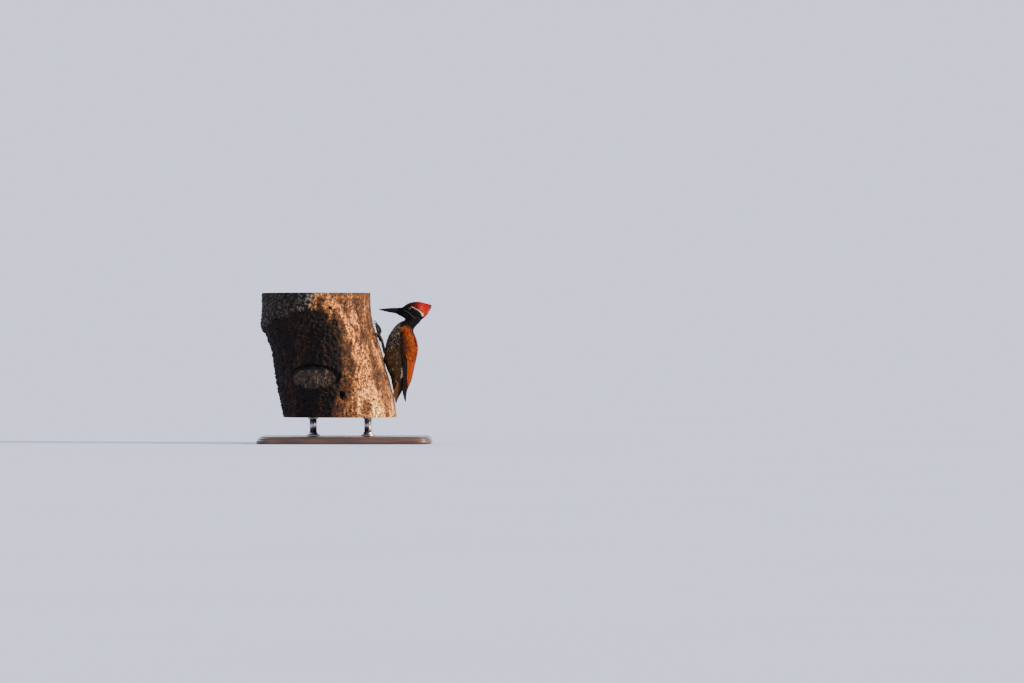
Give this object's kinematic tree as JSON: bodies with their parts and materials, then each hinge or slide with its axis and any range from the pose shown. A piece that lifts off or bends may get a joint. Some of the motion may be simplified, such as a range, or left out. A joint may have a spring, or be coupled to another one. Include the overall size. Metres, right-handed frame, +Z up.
{
  "type": "woodpecker",
  "caption": "Life-size flameback woodpecker with a red crest and orange back, clinging upright to a cut length of dead trunk on a plain display stand.",
  "frame": {"origin": "middle of the underside of the stand's base", "axes": "+Z up, -X the way the bird faces, towards the trunk, -Y the bird's left side"},
  "size_m": [0.33, 0.24, 0.286],
  "materials": {
    "base_wood": "dark stained, satin",
    "rod_steel": "brushed",
    "dead_wood": "weathered bark, dry and rough",
    "bill_horn": "slate black horn, faint gloss",
    "eye": "wet, dark red brown with a black pupil",
    "head_plumage": "black feathers with white brow and cheek lines",
    "crest_plumage": "crimson feathers",
    "body_plumage": "dark feathers with pale scaling",
    "wing_plumage": "golden orange coverts, black flight feathers",
    "tail_plumage": "stiff black feathers",
    "leg_scales": "grey scaled skin",
    "claw_horn": "dark horn"
  },
  "bodies": {
    "root": {"stand_base": "base_wood", "stand_rod_front": "rod_steel", "stand_rod_back": "rod_steel", "perch_trunk": "dead_wood", "bill_upper": "bill_horn", "bill_lower": "bill_horn", "eye_left": "eye", "eye_right": "eye", "head": "head_plumage", "crest": "crest_plumage", "neck": "head_plumage", "torso": "body_plumage", "wing_left": "wing_plumage", "wing_right": "wing_plumage", "tail": "tail_plumage", "thigh_left": "body_plumage", "thigh_right": "body_plumage", "leg_left": "leg_scales", "leg_right": "leg_scales", "claw_left_middle": "claw_horn", "claw_left_inner": "claw_horn", "claw_left_outer": "claw_horn", "claw_left_hind": "claw_horn", "claw_right_middle": "claw_horn", "claw_right_inner": "claw_horn", "claw_right_outer": "claw_horn", "claw_right_hind": "claw_horn"}
  },
  "joints": []
}
